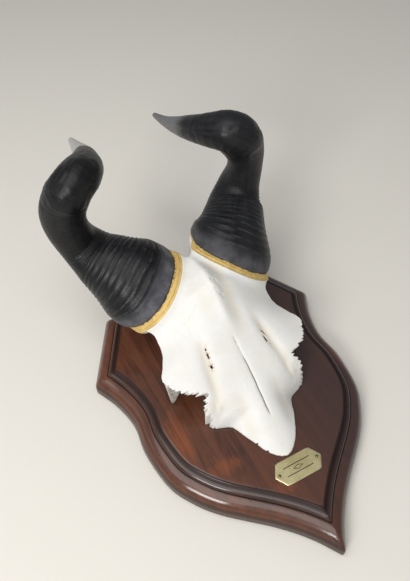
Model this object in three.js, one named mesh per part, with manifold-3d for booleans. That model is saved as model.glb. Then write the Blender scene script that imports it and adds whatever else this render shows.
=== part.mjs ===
// Hartebeest skull and horns on a moulded wooden shield, in millimetres, +Z up.
// The shield lies flat on its back. Distances up the shield are measured from its lower tip.
import * as THREE from 'three';
import { mergeVertices } from 'three/addons/utils/BufferGeometryUtils.js';
import Module from 'manifold-3d';

const wasm = await Module();
wasm.setup();

// The origin lies on the shield's back, on its middle line, this far above the tip.
const TIP_TO_ORIGIN = 271;
// Touching pieces are parted by this much.
const GAP = 0.3;

// Shield
const SHIELD_THICKNESS = 31;
const SHIELD_LENGTH = 357;
const TOP_CORNER = [100.1, SHIELD_LENGTH];
const EAR = [144.9, 277];
const SIDE_CURVE = [
  [0, 0], [18.4, 26.4], [42.6, 51.8], [85.1, 88], [106.4, 113.3], [119.6, 139.2],
  [125.9, 181], [123.6, 215.6], [131.1, 247.8], EAR,
];
const SIDE_STEPS = 26;
const WALL_HEIGHT = 9;
const BACK_EDGE_EASE = 0.8;
const OVOLO_WIDTH = 14;
const OVOLO_TOP = 24;
const QUIRK = [14.5, 23.4];
const BEAD_END = [18.8, 28.2];
const COVE_END = [23.6, 30.4];
const MOULDING_WIDTH = 24;

// Skull: distances up the shield, half widths and heights above the shield's panel
const SKULL_BASE = SHIELD_THICKNESS + GAP;
const RIDGE = [
  [100.4, 2.6], [105, 4], [111, 5.4], [118, 7.2], [127, 10.6], [137, 16.5], [150, 25],
  [160, 30.6], [170, 35.8], [183, 41.6], [200, 49], [214, 56], [222.5, 60.6], [240, 71],
  [255, 81], [272, 91.3], [290, 92], [310, 89], [325, 84], [332, 74],
];
const RIM_WIDTH = [
  [100.4, 1.6], [101.6, 5.5], [105, 10.2], [111, 15.8], [118, 20.5], [127, 24.8], [137, 30], [146, 33.4],
  [152, 36.4], [155, 40], [157.6, 49], [160, 55.5], [162.5, 59], [169, 61.4], [173, 61.6],
  [177, 59], [180.5, 56.6], [183.5, 55.6], [185, 63.5], [188, 68.5], [191, 74], [198, 79.5],
  [206, 83.6], [214.5, 86.8], [221, 85.2], [228, 80], [236, 76], [243, 72.6], [252, 70.8],
  [268, 70.8], [276, 70.4], [290, 63], [310, 56], [325, 50], [332, 43],
];
const RIM_HEIGHT = [
  [100.4, 1.8], [157, 1.8], [162, 3.6], [169, 20], [177, 31], [183, 36], [191, 38], [214, 38.3],
  [228, 40.6], [252, 41], [261, 43.5], [268, 47], [276, 51], [290, 52], [310, 48], [332, 38],
];
const FOOT_WIDTH = [
  [100.4, 1.6], [101.6, 5.5], [105, 10.2], [111, 15.8], [118, 20.5], [127, 24.8], [137, 30], [146, 33.4],
  [152, 36.4], [155, 40], [157.6, 49], [160, 55.5], [162.5, 59], [169, 60.4], [174, 58],
  [180, 50], [188, 45], [214, 44], [240, 45], [290, 44], [332, 34],
];
// How sharply the roof falls to its rim: high is boxy, low is peaked
const ROOF_POWER = [[100, 2.2], [155, 2], [180, 1.7], [210, 1.6], [270, 1.35], [332, 1.4]];
const ROOF_POINTS = 5;
// The wall under the rim: how far out and how high, as shares of the way to the rim
const WALL_STEPS = [[0.12, 0.55], [0.6, 0.88]];
const LEAST_STATION_GAP = 0.4;
const SKULL_STATIONS = [
  100.4, 101.6, 105, 111, 118, 127, 137, 146, 152, 155, 157.6, 160, 162.5, 169, 173, 177, 180.5,
  183.5, 185, 188, 191, 198, 206, 214.5, 221, 228, 236, 243, 252, 268, 276, 290, 310, 325, 332,
];
// The broken eye rim: teeth along this stretch
const TEETH_FROM = 186;
const TEETH_TO = 212;
const TEETH_PITCH = 3.4;
const TEETH_DEPTH = 1.5;

// Post behind each eye socket, from the rim's corner down to the panel
const POST_TOP = { middle: [71.5, 214, 35], long: 12.5, thick: 4.4 };
const POST_FOOT = { middle: [78.3, 209, 0], long: 2.2, thick: 1.8 };

// Small holes over the eyes and the seam between the nose bones
const HOLES = [
  { at: [-34.4, 203.8], long: 2.4, wide: 1.5 },
  { at: [-32.9, 214.3], long: 2.6, wide: 1.1 },
  { at: [-32.6, 219.5], long: 1.6, wide: 0.9 },
  { at: [32.6, 206.5], long: 4, wide: 1.3 },
  { at: [34.3, 213.6], long: 2.6, wide: 0.9 },
];
const HOLE_DEPTH = 4;
const SEAM_FROM = 139;
const SEAM_TO = 223;
const SEAM_WIDTH = 1;
const SEAM_DEPTH = 1.4;
const SEAM_LIP = 0.2;
const SEAM_STEPS = 12;
const CUTTER_RISE = 3;

// Right horn: stations up the middle line, at even steps of the curve's parameter
const HORN_PATH = [
  [57.5, 329.7, 91.2], [67.9, 341, 100.6], [79.6, 360.1, 104.3], [91.9, 379.2, 110.4],
  [103.1, 389.8, 126], [110.9, 391.8, 148.8], [112.4, 392.8, 168.1], [107.9, 393.6, 183.2],
  [99.3, 393.4, 197], [88.1, 398, 204.3], [76.5, 412, 201.7], [67.3, 434.5, 192.4],
  [61.5, 463.8, 180], [58.5, 498.5, 166.9], [57.3, 536.9, 155.8],
];
const HORN_RADII = [
  [47.9, 52.7], [49, 44.3], [37.8, 38.9], [27.3, 33.9], [23.5, 26.8], [24.2, 21], [24.6, 20.8],
  [24.3, 24.7], [24.2, 28.6], [23, 27.3], [20.1, 20.9], [16.3, 16.3], [11.7, 12.9], [6.7, 7.9],
  [2.7, 2.8],
];
const HORN_SIDES = 20;
const HORN_FACING = new THREE.Vector3(0.605, 0.144, 0.783);
const HORN_ROLL = 14;
const RIDGE_COUNT = 13;
const RIDGES_FROM = 0.05;
const RIDGES_TO = 0.32;
const RIDGE_HEIGHT = 1.3;
const GROOVE_DEPTH = 0.45;
const RIDGES_FADE = 0.04;
// From here up the rings stand square to the middle line
const SQUARE_FROM = 0.2;
const SMOOTH_RINGS = 17;
// The horn swells a little above its rim: the angle round it, how wide, how far up and how much
const SWELL_ANGLE = 100;
const SWELL_SPREAD = 38;
const SWELL_PLACE = 0.05;
const SWELL = 3.5;
// The rim dips towards the other horn: where round it, how wide and how deep
const RIM_DIP_ANGLE = -22;
const RIM_DIP_SPREAD = 30;
const RIM_DIP = 5;
const LIFT_FROM_RIM = 3;

// Gilded filler between horn rim and bone, broad round the forehead side and thin behind
const BAND_FRONT = 36;
const BAND_SPREAD = 56;
const BAND_FADE = 25;
const BAND_WALL = 4;
// Behind and in front: how far down it lies, and how far it stands out at lip, bulge and foot
const BAND_DROP = [3.4, 5.6];
const BAND_LIP = [-0.4, 0.4];
const BAND_BULGE = [-0.8, 4.2];
const BAND_FOOT = [-1.5, 6.5];
// How far down the filler its bulge lies
const BULGE_SHARE = 0.45;

// Bone under the filler: rings shrunk about the base's middle, and depths below it
const STUMP_ROOT = { share: 0.5, depth: 44 };
const STUMP_WAIST = { share: 0.78, depth: 26 };
const STUMP_LIP = { inwards: 1.5, down: 5 };
const CORE_ROOT = { share: 0.7, depth: 20 };
const CORE_SLACK = 0.8;
// The room for filler and horn: its clearance at the rim, its flare and its height
const SEAT_CLEARANCE = 1;
const SEAT_FLARE = 6;
const SEAT_HEIGHT = 40;

// Plate and its pins, in its own frame: x along its length
const PLATE_PLACE = [0.8, 85.6];
const PLATE_LENGTH = 54.6;
const PLATE_SIDE = 39;
const PLATE_HEIGHT = 25;
const PLATE_THICKNESS = 1;
const PIN_SPACING = 44;
const PIN_HEAD = 1.5;
const PIN_SHANK = 0.7;
const PIN_SHANK_LENGTH = 4.5;
const PIN_HOLE_DEPTH = 6;
// The pin's domed head: shares of its radius, and heights
const PIN_DOME = [[1, 0], [0.8, 0.6], [0.4, 0.95], [0, 1.05]];
const PIN_SIDES = 8;

// Reading a list of [position, value] pairs with straight lines between its points
function along(table, s) {
  const last = table.length - 1;
  if (s <= table[0][0]) return table[0][1];
  if (s >= table[last][0]) return table[last][1];
  let i = 0;
  while (table[i + 1][0] < s) i += 1;
  const [s0, v0] = table[i];
  const [s1, v1] = table[i + 1];
  return THREE.MathUtils.lerp(v0, v1, (s - s0) / (s1 - s0));
}

// A closed body through rings of equal point count, capped at both ends
function loft(rings) {
  const count = rings[0].length;
  const points = rings.flat();
  const faces = [];
  for (let r = 0; r < rings.length - 1; r += 1) {
    for (let k = 0; k < count; k += 1) {
      const a = r * count + k;
      const b = r * count + ((k + 1) % count);
      faces.push(a, b, b + count, a, b + count, a + count);
    }
  }
  const top = (rings.length - 1) * count;
  faces.push(...fan(points, 0, count, true));
  faces.push(...fan(points, top, count, false));
  return outward(points, faces);
}

// A cap over one ring, fanned from its middle
function fan(points, start, count, flip) {
  const middle = new THREE.Vector3();
  for (let k = 0; k < count; k += 1) middle.addScaledVector(points[start + k], 1 / count);
  const hub = points.push(middle) - 1;
  const faces = [];
  for (let k = 0; k < count; k += 1) {
    const a = start + k;
    const b = start + ((k + 1) % count);
    faces.push(hub, ...(flip ? [b, a] : [a, b]));
  }
  return faces;
}

// Geometry from points and faces, with the faces turned outwards
function outward(points, faces) {
  let volume = 0;
  for (let i = 0; i < faces.length; i += 3) {
    const [a, b, c] = [points[faces[i]], points[faces[i + 1]], points[faces[i + 2]]];
    volume += a.dot(b.clone().cross(c));
  }
  const geometry = new THREE.BufferGeometry().setFromPoints(points);
  geometry.setIndex(volume > 0 ? faces : faces.slice().reverse());
  return geometry;
}

// The same body on the other side of the middle line
function mirrored(geometry) {
  const copy = geometry.clone();
  copy.scale(-1, 1, 1);
  copy.setIndex([...copy.index.array].reverse());
  return copy;
}

function toSolid(geometry) {
  const bare = geometry.clone();
  bare.deleteAttribute('normal');
  bare.deleteAttribute('uv');
  const merged = mergeVertices(bare, 1e-4);
  return new wasm.Manifold(new wasm.Mesh({
    numProp: 3,
    vertProperties: new Float32Array(merged.attributes.position.array),
    triVerts: new Uint32Array(merged.index.array),
  }));
}

function fromSolid(solid) {
  const mesh = solid.getMesh();
  const geometry = new THREE.BufferGeometry();
  geometry.setAttribute('position', new THREE.BufferAttribute(mesh.vertProperties, 3));
  geometry.setIndex(new THREE.BufferAttribute(mesh.triVerts, 1));
  return geometry;
}

// Shield

// One side of the shield moved in by a distance and trimmed where it meets its neighbours
function insetSide(distance) {
  const curve = new THREE.SplineCurve(SIDE_CURVE.map(([x, y]) => new THREE.Vector2(x, y)));
  const dense = 240;
  const earLine = insetLine(EAR, TOP_CORNER, distance);
  const kept = [];
  for (let i = 0; i <= dense; i += 1) {
    const t = i / dense;
    const tangent = curve.getTangent(t);
    const point = curve.getPoint(t).addScaledVector(new THREE.Vector2(-tangent.y, tangent.x), distance);
    const inside = earLine.normal.dot(point.clone().sub(earLine.start)) > -1e-6;
    if (point.x >= -1e-6 && inside) kept.push(point);
  }
  kept[0].x = 0;
  return evenly(kept, SIDE_STEPS);
}

function insetLine(from, to, distance) {
  const start = new THREE.Vector2(...from);
  const direction = new THREE.Vector2(...to).sub(start).normalize();
  const normal = new THREE.Vector2(-direction.y, direction.x);
  return { start: start.addScaledVector(normal, distance), direction, normal };
}

// Points at even arc length along a dense run of points
function evenly(points, steps) {
  const lengths = [0];
  for (let i = 1; i < points.length; i += 1) {
    lengths.push(lengths[i - 1] + points[i].distanceTo(points[i - 1]));
  }
  const total = lengths[lengths.length - 1];
  const result = [];
  for (let k = 0; k <= steps; k += 1) {
    const wanted = (total * k) / steps;
    let i = 0;
    while (i < lengths.length - 2 && lengths[i + 1] < wanted) i += 1;
    const w = (wanted - lengths[i]) / (lengths[i + 1] - lengths[i]);
    result.push(points[i].clone().lerp(points[i + 1], w));
  }
  return result;
}

// The whole outline at one level of the moulding, anticlockwise from the tip
function shieldRing(distance, z) {
  const side = insetSide(distance);
  const slant = insetLine(EAR, TOP_CORNER, distance);
  const topY = SHIELD_LENGTH - distance;
  const reach = (topY - slant.start.y) / slant.direction.y;
  side.push(slant.start.clone().addScaledVector(slant.direction, reach));
  const right = side.map((p) => new THREE.Vector3(p.x, p.y, z));
  const left = side.slice(1).reverse().map((p) => new THREE.Vector3(-p.x, p.y, z));
  return [...right, ...left];
}

// Distance in from the edge and height, from the back's edge up to the flat panel
function mouldingProfile() {
  const profile = [[BACK_EDGE_EASE, 0], [0, BACK_EDGE_EASE], [0, WALL_HEIGHT]];
  const ovoloSteps = 4;
  for (let i = 1; i <= ovoloSteps; i += 1) {
    const angle = (Math.PI / 2) * (i / ovoloSteps);
    const rise = (OVOLO_TOP - WALL_HEIGHT) * Math.sin(angle);
    profile.push([OVOLO_WIDTH * (1 - Math.cos(angle)), WALL_HEIGHT + rise]);
  }
  profile.push(QUIRK);
  const beadSteps = 3;
  for (let i = 1; i <= beadSteps; i += 1) {
    const angle = (Math.PI / 2) * (i / beadSteps);
    const inwards = (BEAD_END[0] - QUIRK[0]) * (1 - Math.cos(angle));
    profile.push([QUIRK[0] + inwards, QUIRK[1] + (BEAD_END[1] - QUIRK[1]) * Math.sin(angle)]);
  }
  const coveSteps = 3;
  for (let i = 1; i <= coveSteps; i += 1) {
    const angle = (Math.PI / 2) * (i / coveSteps);
    const inwards = (COVE_END[0] - BEAD_END[0]) * Math.sin(angle);
    profile.push([BEAD_END[0] + inwards, COVE_END[1] - (COVE_END[1] - BEAD_END[1]) * Math.cos(angle)]);
  }
  profile.push([MOULDING_WIDTH, SHIELD_THICKNESS]);
  return profile;
}

function shieldShape() {
  let solid = toSolid(loft(mouldingProfile().map(([distance, z]) => shieldRing(distance, z))));
  for (const x of pinPlaces()) {
    const reach = PIN_SHANK + GAP;
    const hole = new THREE.CylinderGeometry(reach, reach, 2 * PIN_HOLE_DEPTH, PIN_SIDES);
    hole.rotateX(Math.PI / 2);
    hole.translate(x, PLATE_PLACE[1], SHIELD_THICKNESS);
    solid = solid.subtract(toSolid(hole));
  }
  return fromSolid(solid);
}

// Skull

function teeth(s) {
  if (s < TEETH_FROM || s > TEETH_TO) return 0;
  const step = Math.round((s - TEETH_FROM) / (TEETH_PITCH / 2));
  return step % 2 === 0 ? 0 : -TEETH_DEPTH;
}

// Height of the skull's roof above the table at a place on it
function roofHeight(x, s) {
  const width = along(RIM_WIDTH, s) + teeth(s);
  const share = Math.min(Math.abs(x) / width, 1);
  const rim = along(RIM_HEIGHT, s);
  const rise = (along(RIDGE, s) - rim) * (1 - share ** along(ROOF_POWER, s));
  return SKULL_BASE + rim + rise;
}

// One upright slice: foot, wall, rim and roof of the right side, then the left side back down
function skullSlice(s) {
  const width = along(RIM_WIDTH, s) + teeth(s);
  const rim = along(RIM_HEIGHT, s);
  const foot = Math.min(along(FOOT_WIDTH, s), width);
  const half = [
    [foot, SKULL_BASE],
    ...WALL_STEPS.map(([out, up]) => [foot + (width - foot) * out, SKULL_BASE + rim * up]),
    [width, SKULL_BASE + rim],
  ];
  for (let i = 1; i < ROOF_POINTS; i += 1) {
    const x = width * Math.cos((Math.PI / 2) * (i / ROOF_POINTS));
    half.push([x, roofHeight(x, s)]);
  }
  const right = half.map(([x, z]) => new THREE.Vector3(x, s, z));
  const left = half.map(([x, z]) => new THREE.Vector3(-x, s, z)).reverse();
  return [...right, new THREE.Vector3(0, s, roofHeight(0, s)), ...left];
}

function craniumSolid() {
  const stations = [...SKULL_STATIONS];
  for (let s = TEETH_FROM; s <= TEETH_TO; s += TEETH_PITCH / 2) stations.push(s);
  const sorted = [...new Set(stations)].sort((a, b) => a - b);
  const spaced = sorted.filter((s, i) => i === 0 || s - sorted[i - 1] > LEAST_STATION_GAP);
  return toSolid(loft(spaced.map(skullSlice)));
}

// The bar behind an eye socket, a flat wedge standing on the panel
function postSolid() {
  const rings = [POST_TOP, POST_FOOT].map(({ middle, long, thick }) => {
    const [x, s, z] = middle;
    return [[-1, -1], [1, -1], [1, 1], [-1, 1]].map(([i, j]) => new THREE.Vector3(
      x + i * long,
      s + j * thick,
      SKULL_BASE + z,
    ));
  });
  return toSolid(loft(rings));
}

function seamCutter() {
  const rings = [];
  for (let i = 0; i <= SEAM_STEPS; i += 1) {
    const s = THREE.MathUtils.lerp(SEAM_FROM, SEAM_TO, i / SEAM_STEPS);
    const z = roofHeight(0, s);
    rings.push([
      new THREE.Vector3(-SEAM_WIDTH / 2, s, z + CUTTER_RISE),
      new THREE.Vector3(-SEAM_WIDTH / 2, s, z - SEAM_LIP),
      new THREE.Vector3(0, s, z - SEAM_DEPTH),
      new THREE.Vector3(SEAM_WIDTH / 2, s, z - SEAM_LIP),
      new THREE.Vector3(SEAM_WIDTH / 2, s, z + CUTTER_RISE),
    ]);
  }
  return toSolid(loft(rings));
}

function holeCutter({ at, long, wide }) {
  const hole = new THREE.SphereGeometry(1, 8, 6);
  hole.scale(wide, long, HOLE_DEPTH);
  hole.translate(at[0], at[1], roofHeight(at[0], at[1]));
  return toSolid(hole);
}

function skullShape() {
  let solid = craniumSolid();
  const bothSides = (right) => [right, toSolid(mirrored(fromSolid(right)))];
  for (const extra of [...bothSides(postSolid()), ...bothSides(stumpSolid())]) solid = solid.add(extra);
  for (const seat of bothSides(seatSolid())) solid = solid.subtract(seat);
  for (const core of bothSides(coreSolid())) solid = solid.add(core);
  solid = solid.subtract(seamCutter());
  for (const hole of HOLES) solid = solid.subtract(holeCutter(hole));
  return fromSolid(solid);
}

// Horns, their bony stumps and the gilded filler, all about the horn's base ring

// Middle line of the right horn, the two directions across it and its two radii
function hornStations() {
  const path = new THREE.CatmullRomCurve3(
    HORN_PATH.map((p) => new THREE.Vector3(...p)),
    false,
    'catmullrom',
    0.5,
  );
  const radii = new THREE.SplineCurve(HORN_RADII.map((r) => new THREE.Vector2(...r)));
  return (t) => ({ middle: path.getPoint(t), forward: path.getTangent(t), radius: radii.getPoint(t) });
}

// Degrees between an angle round the base and a place on it, 0 to 180
function degreesFrom(angle, place) {
  const off = THREE.MathUtils.radToDeg(angle) - place;
  return Math.abs(THREE.MathUtils.euclideanModulo(off + 180, 360) - 180);
}

// How far the base rim dips at an angle round it, 0 to 1
function rimDip(angle) {
  return Math.exp(-((degreesFrom(angle, RIM_DIP_ANGLE) / RIM_DIP_SPREAD) ** 2));
}

// How far the horn swells at an angle and a share of its length
function swelling(angle, t) {
  const round = Math.exp(-((degreesFrom(angle, SWELL_ANGLE) / SWELL_SPREAD) ** 2));
  return SWELL * round * Math.exp(-(((t - SWELL_PLACE) / SWELL_PLACE) ** 2));
}

// The way from the middle of the horn's base to a point of its rim
function outwards(rimPoint) {
  return rimPoint.clone().sub(new THREE.Vector3(...HORN_PATH[0])).normalize();
}

// How much an angle round the base belongs to the forehead side, 0 to 1
function frontShare(angle) {
  const off = degreesFrom(angle, BAND_FRONT);
  return 1 - THREE.MathUtils.smoothstep(off, BAND_SPREAD, BAND_SPREAD + BAND_FADE);
}

// The two directions across the horn's base
function baseAxes() {
  const up = new THREE.Vector3(0, 0, 1);
  const forward = HORN_FACING.clone().normalize();
  const across = up.clone().addScaledVector(forward, -up.dot(forward)).normalize();
  return turned(forward, across, THREE.MathUtils.degToRad(HORN_ROLL));
}

function turned(forward, across, angle) {
  const side = new THREE.Vector3().crossVectors(forward, across);
  const u = across.clone().multiplyScalar(Math.cos(angle)).addScaledVector(side, Math.sin(angle));
  const v = side.clone().multiplyScalar(Math.cos(angle)).addScaledVector(across, -Math.sin(angle));
  return { forward, u, v };
}

// A ring about the horn's base: grown sideways, moved along the horn, and shaped like the rim
function baseRing(grow, shift) {
  const { forward, u, v } = baseAxes();
  const [radiusU, radiusV] = HORN_RADII[0];
  const ring = [];
  for (let k = 0; k < HORN_SIDES; k += 1) {
    const angle = (2 * Math.PI * k) / HORN_SIDES;
    const front = frontShare(angle);
    ring.push(new THREE.Vector3(...HORN_PATH[0])
      .addScaledVector(u, (radiusU + grow(front)) * Math.cos(angle))
      .addScaledVector(v, (radiusV + grow(front)) * Math.sin(angle))
      .addScaledVector(forward, shift(front) - RIM_DIP * rimDip(angle)));
  }
  return ring;
}

// Rings up the horn; the lowest ones pass from the slanted rim to rings square to the middle line
function hornRings() {
  const at = hornStations();
  const places = [];
  const ridgeStep = (RIDGES_TO - RIDGES_FROM) / RIDGE_COUNT;
  for (let i = 0; i < RIDGE_COUNT; i += 1) {
    places.push({ t: RIDGES_FROM + i * ridgeStep, lift: -GROOVE_DEPTH });
    places.push({ t: RIDGES_FROM + (i + 0.5) * ridgeStep, lift: RIDGE_HEIGHT });
  }
  for (let i = 0; i <= SMOOTH_RINGS; i += 1) {
    places.push({ t: RIDGES_TO + (1 - RIDGES_TO) * (i / SMOOTH_RINGS), lift: 0 });
  }
  const base = baseRing(() => 0, () => 0);
  const rings = [base];
  let across = baseAxes().u;
  for (const { t, lift } of places) {
    const { middle, forward, radius } = at(t);
    across = across.clone().addScaledVector(forward, -across.dot(forward)).normalize();
    const side = new THREE.Vector3().crossVectors(forward, across);
    const square = THREE.MathUtils.smoothstep(t, 0, SQUARE_FROM);
    const ring = [];
    for (let k = 0; k < HORN_SIDES; k += 1) {
      const angle = (2 * Math.PI * k) / HORN_SIDES;
      const height = lift * (1 - THREE.MathUtils.smoothstep(t, RIDGES_TO - RIDGES_FADE, RIDGES_TO));
      const point = middle.clone()
        .addScaledVector(across, (radius.x + height) * Math.cos(angle))
        .addScaledVector(side, (radius.y + height) * Math.sin(angle));
      const slanted = base[k].clone().sub(new THREE.Vector3(...HORN_PATH[0]));
      slanted.multiplyScalar((radius.x + radius.y) / (HORN_RADII[0][0] + HORN_RADII[0][1]));
      slanted.add(middle).lerp(point, square);
      slanted.addScaledVector(outwards(base[k]), swelling(angle, t));
      ring.push(keptAbove(base[k], slanted, LIFT_FROM_RIM));
    }
    rings.push(ring);
  }
  return rings;
}

// The filler's section at a share of the forehead side
const bandDrop = (front) => -THREE.MathUtils.lerp(...BAND_DROP, front);
const bandLip = (front) => THREE.MathUtils.lerp(...BAND_LIP, front);
const bandBulge = (front) => THREE.MathUtils.lerp(...BAND_BULGE, front);
const bandFoot = (front) => THREE.MathUtils.lerp(...BAND_FOOT, front);

// The base ring shrunk about its middle and moved down into the bone
function rootRing({ share, depth }) {
  const root = new THREE.Vector3(...HORN_PATH[0]);
  const { forward } = baseAxes();
  return baseRing(() => 0, () => 0).map((p) => (
    p.sub(root).multiplyScalar(share).add(root).addScaledVector(forward, -depth)
  ));
}

// A point of the horn, moved up where it would sag below the rim under it
function keptAbove(rimPoint, point, least) {
  const { forward } = baseAxes();
  const height = point.clone().sub(rimPoint).dot(forward);
  return point.addScaledVector(forward, Math.max(0, least - height));
}

// The bone under a horn, flaring from the skull up to the filler
function stumpSolid() {
  return toSolid(loft([
    rootRing(STUMP_ROOT),
    rootRing(STUMP_WAIST),
    baseRing((front) => bandFoot(front) - STUMP_LIP.inwards, (front) => bandDrop(front) - STUMP_LIP.down),
    baseRing(bandFoot, bandDrop),
  ]));
}

// The room that the filler and the horn take, cut out of the bone
function seatSolid() {
  return toSolid(loft([
    baseRing(() => SEAT_FLARE, () => SEAT_HEIGHT),
    baseRing(() => SEAT_CLEARANCE, () => 0),
    baseRing((front) => bandBulge(front) + GAP, (front) => bandDrop(front) * BULGE_SHARE),
    baseRing((front) => bandFoot(front) + GAP, (front) => bandDrop(front) - GAP),
    baseRing(() => -BAND_WALL - 2 * GAP, (front) => bandDrop(front) - GAP),
  ]));
}

// The core that stands up through the filler to the horn's underside
function coreSolid() {
  return toSolid(loft([
    rootRing(CORE_ROOT),
    baseRing(() => -BAND_WALL - CORE_SLACK, (front) => bandDrop(front) - GAP),
    baseRing(() => -BAND_WALL - CORE_SLACK, () => -2 * GAP),
  ]));
}

// The filler's section, swept round the horn's rim
function bandShape() {
  const loops = [
    baseRing(() => -BAND_WALL, () => -GAP),
    baseRing(bandLip, () => -GAP),
    baseRing(bandBulge, (front) => bandDrop(front) * BULGE_SHARE),
    baseRing(bandFoot, bandDrop),
    baseRing(() => -BAND_WALL, bandDrop),
  ];
  const count = HORN_SIDES;
  const points = loops.flat();
  const faces = [];
  for (let r = 0; r < loops.length; r += 1) {
    for (let k = 0; k < count; k += 1) {
      const a = r * count + k;
      const b = r * count + ((k + 1) % count);
      const up = ((r + 1) % loops.length) * count;
      faces.push(a, b, up + ((k + 1) % count), a, up + ((k + 1) % count), up + k);
    }
  }
  return outward(points, faces);
}

// Plate and pins

function pinPlaces() {
  return [-1, 1].map((side) => PLATE_PLACE[0] + side * (PIN_SPACING / 2));
}

function plateShape() {
  const [side, half, height] = [PLATE_SIDE / 2, PLATE_LENGTH / 2, PLATE_HEIGHT / 2];
  const outline = new THREE.Shape([
    new THREE.Vector2(side, -height), new THREE.Vector2(half, 0), new THREE.Vector2(side, height),
    new THREE.Vector2(-side, height), new THREE.Vector2(-half, 0), new THREE.Vector2(-side, -height),
  ]);
  for (const x of [-PIN_SPACING / 2, PIN_SPACING / 2]) {
    outline.holes.push(new THREE.Path().absarc(x, 0, PIN_SHANK + GAP, 0, 2 * Math.PI, true));
  }
  return new THREE.ExtrudeGeometry(outline, {
    depth: PLATE_THICKNESS, bevelEnabled: false, curveSegments: PIN_SIDES / 2,
  });
}

// A domed head over a thin shank that stands in the shield
function pinShape() {
  const profile = [
    [0, -PIN_SHANK_LENGTH], [PIN_SHANK, -PIN_SHANK_LENGTH], [PIN_SHANK, 0],
    ...PIN_DOME.map(([share, rise]) => [PIN_HEAD * share, rise]),
  ];
  const pin = new THREE.LatheGeometry(profile.map(([r, z]) => new THREE.Vector2(r, z)), PIN_SIDES);
  return pin.rotateX(Math.PI / 2);
}

const varnishedWood = { color: 0x4a2418, roughness: 0.25, metalness: 0 };
const bone = { color: 0xf1eee4, roughness: 0.7, metalness: 0 };
const blackHorn = { color: 0x26272a, roughness: 0.5, metalness: 0 };
const gilding = { color: 0xc9a24a, roughness: 0.45, metalness: 0.5 };
const brass = { color: 0xc9bb85, roughness: 0.35, metalness: 0.9 };
const darkBrass = { color: 0x5b5136, roughness: 0.4, metalness: 0.9 };

function piece(name, geometry, finish) {
  const mesh = new THREE.Mesh(geometry, new THREE.MeshStandardMaterial(finish));
  mesh.name = name;
  return mesh;
}

const trophy = new THREE.Group();
trophy.position.y = -TIP_TO_ORIGIN;
trophy.add(piece('shield', shieldShape(), varnishedWood));
trophy.add(piece('skull', skullShape(), bone));

const horn = loft(hornRings());
trophy.add(piece('horn_right', horn, blackHorn));
trophy.add(piece('horn_left', mirrored(horn), blackHorn));

const band = bandShape();
trophy.add(piece('gilt_band_right', band, gilding));
trophy.add(piece('gilt_band_left', mirrored(band), gilding));

const plate = piece('plaque', plateShape(), brass);
plate.position.set(...PLATE_PLACE, SHIELD_THICKNESS + GAP);
trophy.add(plate);

const pinNames = ['plaque_pin_left', 'plaque_pin_right'];
pinPlaces().forEach((x, i) => {
  const pin = piece(pinNames[i], pinShape(), darkBrass);
  pin.position.set(x, PLATE_PLACE[1], SHIELD_THICKNESS + PLATE_THICKNESS + 2 * GAP);
  trophy.add(pin);
});

const model = new THREE.Group();
model.add(trophy);

export default model;
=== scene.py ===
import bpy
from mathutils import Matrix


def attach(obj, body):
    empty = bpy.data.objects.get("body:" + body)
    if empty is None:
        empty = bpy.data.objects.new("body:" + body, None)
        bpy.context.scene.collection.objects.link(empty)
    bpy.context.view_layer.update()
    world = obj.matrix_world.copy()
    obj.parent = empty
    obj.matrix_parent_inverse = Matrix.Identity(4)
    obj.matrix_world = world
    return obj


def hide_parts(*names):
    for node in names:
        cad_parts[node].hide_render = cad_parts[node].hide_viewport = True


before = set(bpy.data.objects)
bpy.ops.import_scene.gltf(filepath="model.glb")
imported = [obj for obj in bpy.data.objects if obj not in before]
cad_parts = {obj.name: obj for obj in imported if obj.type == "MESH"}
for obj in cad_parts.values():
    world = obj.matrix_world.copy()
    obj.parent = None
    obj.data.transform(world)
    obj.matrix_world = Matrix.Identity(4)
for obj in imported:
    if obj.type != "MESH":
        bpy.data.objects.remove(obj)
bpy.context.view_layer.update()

# A hartebeest skull with both horns, fixed to a moulded mahogany shield that lies on its back.
# Shapes are made in millimetres, with distances up the shield measured from its lower tip, and
# are moved to the frame's metres when a mesh is finished.

import math

import bmesh
import bpy
import numpy as np
import openvdb as vdb
from mathutils import Vector

MM = 0.001
TIP_TO_ORIGIN = 271.0
GAP = 0.3
# Random values along each side of the noise's lattice
LATTICE = 17

# Shield
SHIELD_THICKNESS = 31.0
SHIELD_LENGTH = 357.0
TOP_CORNER = (100.1, SHIELD_LENGTH)
EAR = (144.9, 277.0)
# Corners of the moulding: distance in from the edge and height
WALL_FOOT, WALL_TOP = (0.0, 1.5), (0.0, 9.0)
OVOLO_END, QUIRK = (14.0, 24.0), (14.65, 23.4)
BEAD_START, BEAD_END = (14.65, 23.6), (18.8, 28.2)
COVE_START, COVE_END = (19.3, 28.1), (23.5, 30.4)
# Zones of the moulding painted with shade, by distance in: where each starts, is full, fades and ends;
# the dark lines are painted shadow in the quirks and at the panel's edge
COVE_ZONE = (19.2, 20.2, 22.4, 23.4)
BEAD_ZONE = (13.6, 14.6, 23.6, 24.4)
SHADOW_LINES = [(13.8, 14.2, 14.7, 15.3), (18.7, 19.0, 19.4, 19.9), (23.2, 23.5, 23.8, 24.4)]
# Points along the outline's curved side, its slanted edge and half its top
SIDE_STEPS, SLANT_STEPS, TOP_STEPS = 170, 44, 50
SIDE_CURVE = [
    (0, 0), (18.4, 26.4), (42.6, 51.8), (85.1, 88), (106.4, 113.3), (119.6, 139.2),
    (125.9, 181), (123.6, 215.6), (131.1, 247.8), EAR,
]

# Skull, with heights above the shield's panel
SKULL_BASE = SHIELD_THICKNESS + GAP
SKULL_CELL = 0.65
# How far flat parts of the skull's mesh are merged into larger faces
SKULL_MERGE = 0.01
NOSE_TIP = 100.4
# How far the nose leans to the left, fading out up to the second place
NOSE_LEAN, NOSE_LEAN_END = 2.0, 132.0
SKULL_TOP = 332.0
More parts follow.
